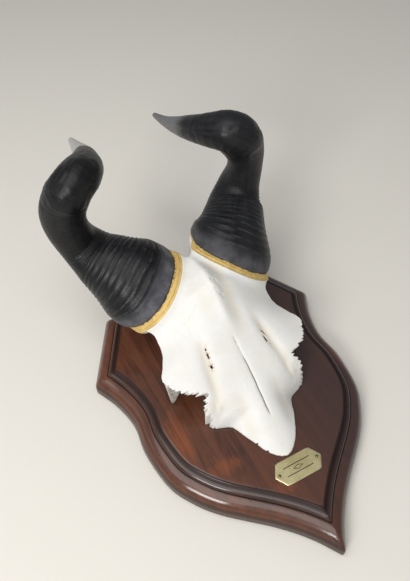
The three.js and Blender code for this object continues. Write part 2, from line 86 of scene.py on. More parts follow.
# The block of cells: half width, first and last place up the shield, and height
BLOCK_SIDE, BLOCK_FROM, BLOCK_TO, BLOCK_HEIGHT = 108, 96, 384, 98
RIDGE = [
    (100.4, 2.6), (105, 4), (111, 5.4), (118, 7.2), (127, 10.6), (137, 16.5), (150, 25),
    (160, 30.6), (170, 35.8), (183, 41.6), (200, 49), (214, 56), (222.5, 60.6), (240, 71),
    (255, 81), (272, 91.3), (290, 92), (310, 89), (325, 84), (332, 74),
]
SNOUT_WIDTH = [
    (100.4, 1.6), (101.6, 5.5), (105, 10.2), (111, 15.8), (118, 20.5), (127, 24.8), (137, 30),
    (146, 33.4), (152, 36.4), (155, 40), (157.6, 49), (160, 55.5), (162.5, 59),
]
RIM_WIDTH = SNOUT_WIDTH + [
    (169, 61.4), (173, 61.6), (177, 59), (180.5, 56.6), (183.5, 55.6), (185, 63.5), (188, 68.5),
    (191, 74), (198, 79.5), (206, 83.6), (214.5, 86.8), (221, 85.2), (228, 80), (236, 76),
    (243, 72.6), (252, 70.8), (268, 70.8), (276, 70.4), (290, 63), (310, 56), (325, 50),
    (332, 43),
]
RIM_HEIGHT = [
    (100.4, 1.8), (157, 1.8), (162, 3.6), (169, 20), (177, 31), (183, 36), (191, 38), (214, 38.3),
    (228, 40.6), (252, 41), (261, 43.5), (268, 47), (276, 51), (290, 52), (310, 48), (332, 38),
]
FOOT_WIDTH = SNOUT_WIDTH + [
    (169, 60.4), (174, 58), (180, 50), (188, 45), (214, 44), (240, 45), (290, 44), (332, 34),
]
ROOF_POWER = [(100, 2.2), (155, 2), (180, 1.7), (210, 1.6), (270, 1.35), (332, 1.4)]
# How far the wall under the rim leans out, as shares of its height and of the overhang
WALL_LEAN = [(0, 0), (0.55, 0.12), (0.86, 0.38), (0.93, 0.6), (0.96, 0.9), (1, 1)]
NOTCH_PLACE, NOTCH_REACH = 184, 9
TEETH_PITCH = 2.5
TEETH_DEPTH = 5.4
# Toothed stretches of the rim: where each starts, is full, fades and ends, and its share
TOOTHED = [(184, 188, 210, 215, 1.0), (157, 161, 176, 181, 0.7)]
# Breaks in the rim: side, place, half length and depth
RIM_BREAKS = [
    (-1, 124.8, 1.0, 1.8), (-1, 113.1, 1.2, 1.6), (-1, 182.0, 2.8, 7.2), (-1, 186.9, 1.5, 5.2),
    (-1, 176.6, 1.0, 2.4), (-1, 172.0, 1.1, 1.8), (-1, 166.2, 1.6, 3.4), (1, 185.0, 2.4, 6.4),
    (1, 180.6, 1.5, 3.4), (1, 189.6, 1.2, 3.0), (1, 176.2, 0.9, 1.8), (1, 168.6, 1.1, 2.2),
    (1, 205.0, 1.0, 1.2),
]
# Small holes over the eyes: place, half length, half width and lean
HOLES = [
    ((-34.4, 203.8), 2.0, 1.1, 0.1), ((-32.9, 214.3), 3.0, 0.75, 0.15),
    ((-32.2, 220.5), 1.4, 0.6, 0.2), ((32.6, 206.5), 3.6, 1.0, -0.12),
    ((34.3, 214.0), 2.8, 0.6, -0.2),
]
HOLE_DEPTH = 6.5
# Low forms along the roof: height, middle, half width, where each starts, is full, fades and
# ends, and whether it lies on both sides
LOW_FORMS = [
    (-2.0, 16, 9, (204, 246, 290, 318), False),
    (-0.7, -15, 9, (225, 255, 290, 318), False),
    (1.4, 3, 5, (216, 244, 285, 312), False),
    (-1.1, 22, 6, (116, 134, 160, 178), True),
    (0.6, 9, 7, (125, 145, 200, 225), True),
]
# Bar behind the eye: its height, the middle and half sizes of its top, and how far its foot
# stands off that middle and tapers
POST_HEIGHT = 36.0
POST_MIDDLE, POST_HALF = (71.5, 214), (12.5, 4.4)
POST_SHIFT, POST_TAPER = (7, -5), (10.7, 2.8)
# The stump of each horn: how it narrows between two depths, its length and slope, and the gap
# left for the filler
STUMP_TAPER = [(0, 30, 0.24), (22, 50, 0.28)]
STUMP_LENGTH, STUMP_SLOPE, SEAT_GAP = 52, 0.9, 0.2
# The cut at the back: how far before the top it lies, and how it curves above a height
BACK_SETBACK, BACK_CURVE, BACK_CURVE_FROM = 1.5, 0.004, 40
# How softly the parts of the skull run into each other
RIM_BLEND, BACK_BLEND, STUMP_BLEND, POST_BLEND = 1.3, 5.0, 10.0, 2.5
# Parts of the block in which the stumps and the bars are worked out
STUMP_FROM, POST_FROM, POST_TO = 250, 188, 244
# The seam down the middle: where it starts, is full, fades and ends
SEAM_SPAN = (136, 146, 214, 226)

# Horns
HORN_PATH = [
    (57.5, 329.7, 91.2), (67.9, 341, 100.6), (79.6, 360.1, 104.3), (91.9, 379.2, 110.4),
    (103.1, 389.8, 126), (110.9, 391.8, 148.8), (112.4, 392.8, 168.1), (107.9, 393.6, 183.2),
    (99.3, 393.4, 197), (88.1, 398, 204.3), (76.5, 412, 201.7), (67.3, 434.5, 192.4),
    (61.5, 463.8, 180), (58.5, 498.5, 166.9), (57.3, 536.9, 155.8),
]
HORN_RADII = [
    (47.9, 52.7), (49, 44.3), (37.8, 38.9), (27.3, 33.9), (23.5, 26.8), (24.2, 21),
    (24.6, 20.8), (24.3, 24.7), (24.2, 28.6), (23, 27.3), (20.1, 20.9), (16.3, 16.3),
    (11.7, 12.9), (6.7, 7.9), (2.7, 2.8),
]
HORN_FACING = Vector((0.605, 0.144, 0.783)).normalized()
HORN_ROLL = math.radians(14)
RIM_DIP_ANGLE, RIM_DIP_SPREAD, RIM_DIP = -22.0, 30.0, 5.0
LIFT_FROM_RIM = 3.0
HORN_SIDES, HORN_RINGS, TIP_RINGS = 120, 320, 22
TIP_START = 0.93
# How far up the horn its slanted rings turn square
SQUARE_FROM = 0.2
RIDGES_FROM, RIDGES_TO = 0.035, 0.33
RIDGE_COUNT = 22
RIDGE_RISE, GROOVE_DEPTH, MINOR_RISE, FAINT_RISE = 0.935, 0.51, 0.14, 0.28
# Where the ridges along their stretch, and the dents along the horn, start, are full, fade and end
RIDGED, DENTED = (0.01, 0.1, 0.66, 1.06), (0.42, 0.55, 0.86, 0.97)
# Size of the cylinder on which the fibres of the horn's finish are laid out
ROUND_REACH, HORN_LENGTH = 30, 420
# Size of the closed foot of the sheath, as a share of its rim
FOOT_SHARE = 0.86
HORN_SEEDS, BAND_SEEDS = {1: 70, -1: 90}, {1: 150, -1: 170}
# The outer side of the horn, where the ridges run out
SMOOTH_ANGLE, SMOOTH_SPREAD, SMOOTH_SHARE = 155.0, 55.0, 0.65
# The highest place of the horns, and how far below it they give way to keep under it
HORN_TOP, HORN_TOP_EASE = 229.4, 60.0
SWELL_ANGLE, SWELL_SPREAD, SWELL_PLACE, SWELL = 100.0, 38.0, 0.05, 3.5

# Gilded filler between horn rim and bone
BAND_FRONT, BAND_SPREAD = 36.0, 56.0
BAND_DROP, BAND_WALL = 5.6, 4.0
# Growth beyond the horn's rim at the back and the front of the head
BAND_LIP, BAND_BULGE, BAND_FOOT = (-1.5, 0.0), (-0.8, 4.2), (-1.5, 6.5)
BAND_SIDES, BAND_ROWS = 240, 11

# Plate and pins
PLATE_PLACE = (0.8, 85.6)
PLATE_LENGTH, PLATE_SIDE, PLATE_HEIGHT, PLATE_THICKNESS = 54.6, 39.0, 25.0, 1.0
PLATE_EDGE = [(0.35, 0.0), (0.0, 0.1), (0.0, 0.75), (0.12, 0.93), (0.32, 1.0), (1.2, 1.0)]
PIN_SPACING = 44.0
PIN_SIDES = 28
PIN_PROFILE = [
    (0.7, -4.4), (0.7, 0.0), (1.42, 0.0), (1.5, 0.12), (1.46, 0.32), (1.25, 0.62), (0.9, 0.86),
    (0.5, 1.0), (0.15, 1.04),
]


# Numbers over a surface


def along(table, s):
    """Values of a list of (place, value) pairs at s, on straight lines between its points."""
    places, values = zip(*table)
    return np.interp(s, places, values)


def smoothly(table, s):
    """As along, but rounded over a few millimetres at each point of the list, less at the nose."""
    spread = np.linspace(-3.0, 3.0, 7)
    weight = np.exp(-(spread / 2.0) ** 2)
    ease = np.clip((s - NOSE_TIP) / 20.0, 0.02, 1.0)
    total = sum(w * along(table, s + d * ease) for d, w in zip(spread, weight))
    return total / weight.sum()


def step(low, high, x):
    """A soft step from 0 at low to 1 at high."""
    t = np.clip((x - low) / (high - low), 0.0, 1.0)
    return t * t * (3.0 - 2.0 * t)


def stretch(span, x):
    """1 between the middle two of four places, fading to 0 at the outer two."""
    start, full, fade, end = span
    return step(start, full, x) * (1 - step(fade, end, x))


def hump(x, middle, width):
    return np.exp(-((x - middle) / width) ** 2)


def wave_noise(seed, coords, scale, octaves=3):
    """Smooth noise of about -1 to 1 at points, from seeded lattices with cells of one scale."""
    coords = np.asarray(coords, float)
    dims = coords.shape[-1]
    total, weight, reach = 0.0, 1.0, 0.0
    for octave in range(octaves):
        grid = np.random.default_rng(seed + octave).uniform(-1.0, 1.0, (LATTICE,) * dims)
        place = coords / scale * 2.0 ** octave + 0.37 * (octave + 1)
        cell = np.floor(place).astype(int)
        part = place - cell
        part = part * part * (3.0 - 2.0 * part)
        value = 0.0
        for corner in np.ndindex(*(2,) * dims):
            index = tuple((cell[..., d] + corner[d]) % LATTICE for d in range(dims))
            share = 1.0
            for d in range(dims):
                share = share * (part[..., d] if corner[d] else 1.0 - part[..., d])
            value = value + grid[index] * share
        total = total + weight * value
        reach += weight
        weight *= 0.5
    return total / reach * 1.6


# Meshes


def sided(name, side):
    return name + ("_right" if side > 0 else "_left")


def placed(name, data, place=(0.0, 0.0, 0.0), facing=None):
    """A new object in the scene, at a place in metres and facing along a direction."""
    made = bpy.data.objects.new(name, data)
    bpy.context.scene.collection.objects.link(made)
    made.location = place
    if facing is not None:
        made.rotation_mode = "QUATERNION"
        made.rotation_quaternion = facing.to_track_quat("-Z", "Y")
    return made


def finished(name, points, faces, material, nodes, sharp=None, fields=None):
    """A mesh object from points in millimetres, set on the frame and given its material."""
    points = np.array(points, float)
    points[:, 1] -= TIP_TO_ORIGIN
    mesh = bpy.data.meshes.new(name)
    mesh.from_pydata((points * MM).tolist(), [], [tuple(int(i) for i in f) for f in faces])
    mesh.update()
    work = bmesh.new()
    work.from_mesh(mesh)
    bmesh.ops.recalc_face_normals(work, faces=work.faces)
    for face in work.faces:
        face.smooth = True
    if sharp:
        for edge in work.edges:
            edge.smooth = edge.calc_face_angle(0.0) < math.radians(sharp)
    work.to_mesh(mesh)
    work.free()
    for field, values in (fields or {}).items():
        values = np.asarray(values, np.float32)
        kind, key = ("FLOAT", "value") if values.ndim == 1 else ("FLOAT_VECTOR", "vector")
        mesh.attributes.new(field, kind, "POINT").data.foreach_set(key, values.ravel())
    mesh.materials.append(material)
    piece = placed(name, mesh)
    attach(piece, "root")
    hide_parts(*nodes)
    return piece


def strip(ring_count, side_count, closed_rings=False):
    """Quads between rings of equal point count."""
    quads = []
    for r in range(ring_count if closed_rings else ring_count - 1):
        up = ((r + 1) % ring_count) * side_count
        for k in range(side_count):
            after = (k + 1) % side_count
            quads.append((r * side_count + k, r * side_count + after, up + after, up + k))
    return quads


def spline(points, t):
    """Uniform Catmull-Rom curve at places t from 0 to the last point's number, and its slope."""
    p = np.asarray(points, float)
    ends = np.vstack([2 * p[0] - p[1], p, 2 * p[-1] - p[-2]])
    i = np.clip(t.astype(int), 0, len(p) - 2)
    u = (t - i)[:, None]
    a, b, c, d = ends[i], ends[i + 1], ends[i + 2], ends[i + 3]
    square, cube = 2 * a - 5 * b + 4 * c - d, 3 * b - a - 3 * c + d
    place = 0.5 * (2 * b + (c - a) * u + square * u ** 2 + cube * u ** 3)
    slope = 0.5 * ((c - a) + 2 * square * u + 3 * cube * u ** 2)
    return place, slope


def curve_at(points, share):
    return spline(points, share * (len(points) - 1))


def evenly(points, count):
    lengths = np.concatenate([[0], np.cumsum(np.linalg.norm(np.diff(points, axis=0), axis=1))])
    wanted = np.linspace(0, lengths[-1], count)
    return np.stack([np.interp(wanted, lengths, column) for column in points.T], 1)


def level_ring(ring, z):
    return np.column_stack([ring, np.full(len(ring), z)])


def capped(loops):
    """Faces of a stack of rings, with one face over each end."""
    sides = len(loops[0])
    faces = strip(len(loops), sides)
    faces.append(list(range(sides))[::-1])
    faces.append([(len(loops) - 1) * sides + k for k in range(sides)])
    return faces


def eased(ring):
    """A ring with its corners rounded a little, as sanding leaves them."""
    for _ in range(2):
        ring = 0.5 * ring + 0.25 * (np.roll(ring, -1, 0) + np.roll(ring, 1, 0))
    return ring


# Shield


def slanted_edge(distance):
    """A point, the direction and the inward normal of the short slanted edge, moved inwards."""
    start, end = np.array(EAR, float), np.array(TOP_CORNER, float)
    direction = (end - start) / np.linalg.norm(end - start)
    normal = np.array([-direction[1], direction[0]])
    return start + normal * distance, direction, normal


def shield_outline(distance):
    """The shield's outline moved inwards by a distance, anticlockwise from the tip."""
    place, slope = spline(SIDE_CURVE, np.linspace(0, len(SIDE_CURVE) - 1, 900))
    slope /= np.linalg.norm(slope, axis=1)[:, None]
    inner = place + np.stack([-slope[:, 1], slope[:, 0]], 1) * distance
    start, direction, normal = slanted_edge(distance)
    kept = inner[(inner[:, 0] > -1e-6) & ((inner - start) @ normal > -1e-6)]
    kept[0, 0] = 0.0
    side = evenly(kept, SIDE_STEPS)
    top_y = SHIELD_LENGTH - distance
    corner = start + direction * (top_y - start[1]) / direction[1]
    slant = evenly(np.vstack([side[-1], corner]), SLANT_STEPS)[1:]
    top = evenly(np.vstack([corner, [0, top_y]]), TOP_STEPS)[1:]
    right = np.vstack([side, slant, top])
    return eased(np.vstack([right, right[1:-1][::-1] * [-1, 1]]))


def quarter(start, end, steps, convex):
    """Points of a quarter round or hollow from start to end, without its start."""
    points = []
    for i in range(1, steps + 1):
        a = math.pi / 2 * i / steps
        run, rise = (1 - math.cos(a), math.sin(a)) if convex else (math.sin(a), 1 - math.cos(a))
        points.append((start[0] + (end[0] - start[0]) * run, start[1] + (end[1] - start[1]) * rise))
    return points


def moulding_profile():
    """Distance in from the edge and height, from under the edge up to the flat panel."""
    profile = [(6.0, 0.0), (1.6, 0.0), (0.9, 0.2), (0.3, 0.7), WALL_FOOT]
    rise = WALL_TOP[1] - WALL_FOOT[1]
    profile += [(0.0, WALL_FOOT[1] + rise * i / 6) for i in range(1, 7)]
    profile += quarter(WALL_TOP, OVOLO_END, 20, True)
    profile += [(14.2, 23.75), (14.35, 23.4), QUIRK]
    profile += quarter(BEAD_START, BEAD_END, 12, True)
    profile += [(19.05, 28.0), (19.3, 28.05)]
    profile += quarter(COVE_START, COVE_END, 10, False)
    return profile + [(23.6, 30.75), (23.75, 30.95), (24.1, 31.0), (27.0, 31.0)]


def make_shield(material):
    profile = moulding_profile()
    rings = [level_ring(shield_outline(distance), z) for distance, z in profile]
    from_edge = np.repeat([distance for distance, _ in profile], len(rings[0]))
    return finished("shield_mahogany", np.vstack(rings), capped(rings), material,
                    ["shield"], sharp=28, fields={"from_edge": from_edge})


# Skull


def seam_place(s):
    return 0.3 * np.sin(s / 9)


def roof_relief(x, s):
    """Low forms of the bone: brow swellings, grooves below the small holes, ridge and hollows."""
    a = np.abs(x)
    groove = hump(a, 42 - 0.16 * (s - 180), 5.5) * stretch((158, 180, 214, 246), s)
    relief = 1.6 * hump(a, 56, 15) * hump(s, 206, 24) - 2.4 * groove
    relief += 0.9 * hump(a, 24, 9) * hump(s, 212, 34)
    for height, middle, reach, span, both in LOW_FORMS:
        relief += height * hump(a if both else x, middle, reach) * stretch(span, s)
    relief -= 0.8 * hump(x, seam_place(s), 1.6) * stretch(SEAM_SPAN, s)
    pocks = np.maximum(wave_noise(5, np.stack([x, s], -1), 4.5, 2), 0.0)
    relief -= 1.8 * pocks * hump(x, 6, 4.5) * hump(s, 270, 16)
    lumps = wave_noise(17, np.stack([x, s], -1), 6.0, 2)
    relief += 1.1 * lumps * hump(a, 47, 9) * hump(s, 168, 9)
    relief += 0.35 * wave_noise(11, np.stack([x, s], -1), 26.0, 3)
    return relief


def roof_height(x, s):
    """Height of the skull's roof above the panel, without its low forms."""
    share = np.clip(np.abs(x) / np.maximum(smoothly(RIM_WIDTH, s), 1.0), 0.0, 1.15)
    rim = smoothly(RIM_HEIGHT, s)
    return rim + (smoothly(RIDGE, s) - rim) * (1 - share ** along(ROOF_POWER, s))


def rim_width(x, s):
    """Half width of the rim with its toothed edge, its notch and its small breaks."""
    sharp = np.abs(s - NOTCH_PLACE) < NOTCH_REACH
    width = np.where(sharp, along(RIM_WIDTH, s), smoothly(RIM_WIDTH, s))
    side = np.where(x > 0, 0.0, 40.0)
    jitter = wave_noise(21, np.stack([s, side], -1), 7.0, 2)
    tooth = np.abs(((s + 2.2 * jitter) / TEETH_PITCH) % 1.0 - 0.5) * 2
    toothed = sum(share * stretch(span, s) for *span, share in TOOTHED)
    width = width - toothed * (TEETH_DEPTH * tooth ** 1.4 * (1 + 0.5 * jitter) + 1.2 * jitter)
    for where, middle, half, deep in RIM_BREAKS:
        near = 1 - np.clip(np.abs(s - middle) / half, 0, 1) ** 2
        width = width - np.where(x * where > 0, 1.0, 0.0) * deep * near
    return width + 0.35 * wave_noise(23, np.stack([s, side], -1), 3.0, 2) * step(104, 125, s)


def base_axes():
    """The two directions across the right horn's base, and the way it faces."""
    up = Vector((0, 0, 1))
    across = (up - HORN_FACING * up.dot(HORN_FACING)).normalized()
    side = HORN_FACING.cross(across)
    u = across * math.cos(HORN_ROLL) + side * math.sin(HORN_ROLL)
    v = side * math.cos(HORN_ROLL) - across * math.sin(HORN_ROLL)
    return np.array(u), np.array(v), np.array(HORN_FACING)


def degrees_from(angle, place):
    return np.abs((np.degrees(angle) - place + 180) % 360 - 180)


def bell(angle, middle, spread):
    return hump(degrees_from(angle, middle), 0, spread)


def rim_dip(angle):
    return RIM_DIP * bell(angle, RIM_DIP_ANGLE, RIM_DIP_SPREAD)


def base_ring(angle, grow=0.0, lift=0.0):
    """The slanted ring of the right horn's base, grown outwards and lifted."""
    u, v, facing = base_axes()
    ring = (np.array(HORN_PATH[0]) + np.outer(np.cos(angle) * (HORN_RADII[0][0] + grow), u)
            + np.outer(np.sin(angle) * (HORN_RADII[0][1] + grow), v))
    return ring + np.outer(lift - rim_dip(angle), facing)


def front_share(angle):
    """How much an angle round the base belongs to the forehead side, 0 to 1."""
    return 1 - step(BAND_SPREAD, BAND_SPREAD + 25, degrees_from(angle, BAND_FRONT))


def band_drop(front):
    return BAND_DROP * (0.6 + 0.4 * front)


def band_reach(ends, front):
    """A growth given for the back and the front, at a share of the front."""
    return ends[1] * front + ends[0] * (1 - front)


def about_base(x, s, z):
    """Angle round the right horn's base, reach from its middle and height over its plane."""
    u, v, forward = base_axes()
    root = np.array(HORN_PATH[0])
    d = np.stack([x - root[0], s - root[1], z - root[2]], -1)
    du, dv = d @ u, d @ v
    return np.arctan2(dv, du), np.hypot(du, dv), d @ forward


def ellipse_reach(angle, grow):
    """Reach of the base ring at an angle, grown outwards."""
    return 1 / np.sqrt((np.cos(angle) / (HORN_RADII[0][0] + grow)) ** 2
                       + (np.sin(angle) / (HORN_RADII[0][1] + grow)) ** 2)


def under_band(x, s, z):
    """As about_base, with the share of the front and the height of the filler's foot."""
    angle, reach, height = about_base(x, s, z)
    front = front_share(angle)
    return angle, reach, height, front, -band_drop(front) - rim_dip(angle)


def stump_field(x, s, z):
    """Distance to the bony stump that flares up to the gilded filler."""
    angle, reach, height, front, top = under_band(x, s, z)
    below = top - height
    shrink = 1 - sum(share * step(low, high, below) for low, high, share in STUMP_TAPER)
    foot = ellipse_reach(angle, band_reach(BAND_FOOT, front) - GAP)
    out = (reach - shrink * foot) * STUMP_SLOPE
    return np.maximum(np.maximum(out, height - top), -STUMP_LENGTH - height)


def seat_field(x, s, z):
    """Distance to the room that the filler and the horn take."""
    angle, reach, height, front, top = under_band(x, s, z)
    foot = ellipse_reach(angle, band_reach(BAND_FOOT, front) + SEAT_GAP)
    return np.maximum(reach - foot, top - height)


def post_field(x, s, z):
    """Distance to the bar behind the eye socket, a flat blade standing on the panel."""
    low = np.clip(1 - z / POST_HEIGHT, 0, 1)
    away = z - POST_HEIGHT
    for k, place in enumerate((x, s)):
        middle = POST_MIDDLE[k] + POST_SHIFT[k] * low
        away = np.maximum(away, np.abs(place - middle) - (POST_HALF[k] - POST_TAPER[k] * low))
    return away


def hole_distance(x, s):
    """How far a place is outside the nearest small hole, as a share of the hole's size."""
    nearest = np.full(np.shape(x), 9.0)
    for (hx, hs), long, wide, lean in HOLES:
        dx, ds = x - hx, s - hs
        lengthways = ds * math.cos(lean) + dx * math.sin(lean)
        crossways = dx * math.cos(lean) - ds * math.sin(lean)
        nearest = np.minimum(nearest, np.hypot(lengthways / long, crossways / wide))
    return nearest


def blended(a, b, reach):
    """Smooth union of two distance fields."""
    h = np.clip(0.5 + 0.5 * (b - a) / reach, 0.0, 1.0)
    return b + (a - b) * h - reach * h * (1 - h)


def skull_block():
    """The skull as a block of distances, with the places of its cells."""
    xs = np.arange(-BLOCK_SIDE, BLOCK_SIDE + 0.1, SKULL_CELL)
    ss = np.arange(BLOCK_FROM, BLOCK_TO, SKULL_CELL)
    zs = np.arange(-3 * SKULL_CELL, BLOCK_HEIGHT, SKULL_CELL)
    gx, gs = np.meshgrid(xs, ss, indexing="ij")
    roof = roof_height(gx, gs)
    slope_x, slope_s = np.gradient(roof, SKULL_CELL)
    steep = np.sqrt(1 + np.minimum(slope_x ** 2 + slope_s ** 2, 5.0))
    relief = roof_relief(gx, gs)
    pit = np.clip(1.25 - hole_distance(gx, gs), 0, 1) * HOLE_DEPTH
    roof = roof + (relief - pit) * step(0.5, 8, roof)
    width = rim_width(gx, gs)
    foot = np.minimum(smoothly(FOOT_WIDTH, gs), width)
    rim = np.maximum(smoothly(RIM_HEIGHT, gs), 0.5)
    level = np.clip(zs[None, None, :] / rim[..., None], 0.0, 1.0)
    lean = along(WALL_LEAN, level)
    wall = foot[..., None] + (width - foot)[..., None] * lean
    out = (np.abs(gx)[..., None] - wall) * 0.75
    over = (zs[None, None, :] - roof[..., None]) / steep[..., None]
    field = -blended(-over, -out, RIM_BLEND)
    field = np.maximum(field, (NOSE_TIP - 0.3 - gs)[..., None])
    back = gs[..., None] - (SKULL_TOP - BACK_SETBACK)
    back = back + BACK_CURVE * np.maximum(zs - BACK_CURVE_FROM, 0)[None, None, :] ** 2
    field = -blended(-field, -back, BACK_BLEND)
    x3, s3, z3 = np.broadcast_arrays(np.abs(gx)[..., None], gs[..., None], zs[None, None, :])
    near = ss > STUMP_FROM
    stump = stump_field(x3[:, near], s3[:, near], z3[:, near] + SKULL_BASE)
    seat = seat_field(x3[:, near], s3[:, near], z3[:, near] + SKULL_BASE)
    joined = blended(field[:, near], stump, STUMP_BLEND)
    field[:, near] = np.maximum(joined, -seat)
    mid = (ss > POST_FROM) & (ss < POST_TO)
    post = post_field(x3[:, mid], s3[:, mid], z3[:, mid])
    field[:, mid] = blended(field[:, mid], post, POST_BLEND)
    field = np.maximum(field, -z3)
    return field, xs, ss, zs, relief


def picked(grid, xs, ss, points):
    """Values of a flat grid at points, between its cells."""
    i = np.clip((points[:, 0] - xs[0]) / SKULL_CELL, 0, len(xs) - 1.001)
    j = np.clip((points[:, 1] - ss[0]) / SKULL_CELL, 0, len(ss) - 1.001)
    a, b = i.astype(int), j.astype(int)
    u, v = i - a, j - b
    return (grid[a, b] * (1 - u) * (1 - v) + grid[a + 1, b] * u * (1 - v)
            + grid[a, b + 1] * (1 - u) * v + grid[a + 1, b + 1] * u * v)


def make_skull(material):
    field, xs, ss, zs, relief = skull_block()
    limit = 3 * SKULL_CELL
    grid = vdb.FloatGrid(limit)
    grid.copyFromArray(np.clip(field, -limit, limit).astype(np.float32))
    points, triangles, quads = grid.convertToPolygons(isovalue=0.0, adaptivity=SKULL_MERGE)
    faces = triangles.tolist() + quads.tolist()
    points = points * SKULL_CELL + [xs[0], ss[0], zs[0] + SKULL_BASE]
    x, s, z = points.T.copy()
    rim = picked(rim_width(*np.meshgrid(xs, ss, indexing="ij")), xs, ss, points) - np.abs(x)
    fields = {
        # how far a place lies in the bone's low forms, where the finish paints shade
        "low": np.clip(-picked(relief, xs, ss, points) / 2.5, 0, 1),
        "from_hole": hole_distance(x, s),
        "from_seam": np.abs(x - seam_place(s) - 0.12 * np.sin(s / 2.7)),
        "up_shield": s,
        "from_rim": rim,
        "height": z - SKULL_BASE,
    }
    points[:, 0] -= NOSE_LEAN * (1 - step(NOSE_TIP, NOSE_LEAN_END, s))
    return finished("skull_bone", points, faces, material, ["skull"], fields=fields)


# Horns


def square_frames(slopes, first):
    """Directions across a path, carried along it without twist."""
    across = np.empty_like(slopes)
    current = first
    for i, forward in enumerate(slopes):
        current = current - forward * (current @ forward)
        current = current / np.linalg.norm(current)
        across[i] = current
    return across, np.cross(slopes, across)


def wrapped(angle, reach, up):
    """Places on a cylinder, so that what is read from them meets all the way round."""
    return np.stack([np.cos(angle) * reach, np.sin(angle) * reach, up], -1)


def ridge_height(t, angle, seed):
    """The transverse ridges of the lower horn and the dents of the bend, in millimetres."""
    ring = wrapped(angle, 2.2, t * 26)
    wander = wave_noise(seed, ring, 1.6, 2)
    place = (t - RIDGES_FROM) / (RIDGES_TO - RIDGES_FROM)
    phase = place * RIDGE_COUNT + 0.3 * wander
    wave = np.cos(2 * math.pi * phase)
    crest = (0.5 + 0.5 * wave) ** 2.8
    groove = (0.5 - 0.5 * wave) ** 4
    inside = stretch(RIDGED, place)
    strength = 0.65 + 0.5 * wave_noise(seed + 40, ring, 2.4, 2)
    quiet = 1 - SMOOTH_SHARE * bell(angle, SMOOTH_ANGLE, SMOOTH_SPREAD)
    ridges = (RIDGE_RISE * (crest - 0.3) - GROOVE_DEPTH * groove) * inside * quiet
    ridges = ridges * np.clip(strength, 0.25, 1.1)
    minor = MINOR_RISE * quiet * np.cos(2 * math.pi * (phase * 2.6 + 0.3 * wander)) * inside
    dents = wave_noise(seed + 9, wrapped(angle, 1.6, t * 14), 1.5, 2)
    upper = stretch(DENTED, t)
    faint = FAINT_RISE * (0.5 + 0.5 * np.cos(2 * math.pi * (t * 34 + 0.5 * wander))) ** 3 * upper
    fold = np.abs(wave_noise(seed + 17, wrapped(angle, 2.4, t * 22), 2.0, 2))
    crease = np.clip(1 - 1.6 * fold, 0, 1) ** 3
    uneven = dents * (0.25 + 1.5 * upper) - crease * upper
    return ridges + minor + uneven + faint, crest * inside


def horn_surface(seed):
    """Rings of the right horn from its slanted rim to its tip, with what is kept for its finish."""
    closing = np.sin(np.linspace(0.1, math.pi / 2, TIP_RINGS))
    t = np.concatenate([np.linspace(0.012, TIP_START, HORN_RINGS), TIP_START + (1 - TIP_START) * closing])
    place, slope = curve_at(HORN_PATH, t)
    radius, _ = curve_at(HORN_RADII, t)
    forward = slope / np.linalg.norm(slope, axis=1)[:, None]
    u, _, facing = base_axes()
    across, side = square_frames(forward, u)
    angle = np.linspace(0, 2 * math.pi, HORN_SIDES, endpoint=False)
    root = np.array(HORN_PATH[0])
    base = base_ring(angle)
    grid_t, grid_a = np.meshgrid(t, angle, indexing="ij")
    raised, crest = ridge_height(grid_t, grid_a, seed)
    raised = raised * step(0.0, 0.05, grid_t)
    tip_close = np.clip((1 - t) / 0.012, 0, 1) ** 0.5
    squared = place[:, None]
    halves = (np.cos(angle), across, radius[:, 0]), (np.sin(angle), side, radius[:, 1])
    for turned, ways, reach in halves:
        grown = (reach * tip_close)[:, None] + raised * (reach / 30)[:, None].clip(0, 1)
        squared = squared + (turned * grown)[..., None] * ways[:, None]
    scale = (radius.sum(1) / sum(HORN_RADII[0]))[:, None, None]
    slanted = (base - root)[None] * scale + place[:, None]
    outwards = (base - root) / np.linalg.norm(base - root, axis=1)[:, None]
    slanted = slanted + outwards[None] * raised[..., None]
    share = step(0, SQUARE_FROM, t)[:, None, None]
    rings = slanted * (1 - share) + squared * share
    swelling = SWELL * bell(angle, SWELL_ANGLE, SWELL_SPREAD)
    swelling = swelling[None] * hump(t, SWELL_PLACE, SWELL_PLACE)[:, None]
    rings = rings + outwards[None] * swelling[..., None]
    height = (rings - base[None]) @ facing
    least = LIFT_FROM_RIM * step(0, 0.06, t)[:, None]
    rings = rings + np.maximum(0, least - height)[..., None] * facing
    rings = np.concatenate([base[None], rings])
    around = wrapped(grid_a, ROUND_REACH, grid_t * HORN_LENGTH)
    kept = {
        "up_horn": np.concatenate([np.zeros(HORN_SIDES), grid_t.ravel()]),
        "crest": np.concatenate([np.zeros(HORN_SIDES), crest.ravel()]),
    }
    return rings, kept, np.concatenate([around[:1], around]).reshape(-1, 3)


def make_horn(side, material):
    rings, kept, around = horn_surface(HORN_SEEDS[side])
    count = len(rings)
    points = rings.reshape(-1, 3)
    faces = strip(count, HORN_SIDES)
    sunk = (rings[0] - rings[0].mean(0)) * FOOT_SHARE + rings[0].mean(0)
    first = len(points)
    points = np.vstack([points, sunk, rings[-1].mean(0)[None]])
    for k in range(HORN_SIDES):
        after = (k + 1) % HORN_SIDES
        faces.append((after, k, first + k, first + after))
        faces.append(((count - 1) * HORN_SIDES + k, (count - 1) * HORN_SIDES + after, first + HORN_SIDES))
    faces.append([first + k for k in range(HORN_SIDES)][::-1])
    extra = HORN_SIDES + 1
    kept = {name: np.concatenate([values, np.full(extra, values[-1] if name == "up_horn" else 0.0)])
            for name, values in kept.items()}
    kept["up_horn"][first:first + HORN_SIDES] = 0.0
    kept["around"] = np.vstack([around, around[:HORN_SIDES], around[-1:]])
    top = points[:, 2].max()
    points[:, 2] -= max(0.0, top - HORN_TOP) * step(HORN_TOP - HORN_TOP_EASE, HORN_TOP, points[:, 2])
    points = points * [side, 1, 1]
    name = sided("horn", side)
    return finished(name + "_horn", points, faces, material, [name], fields=kept)


# Gilded filler


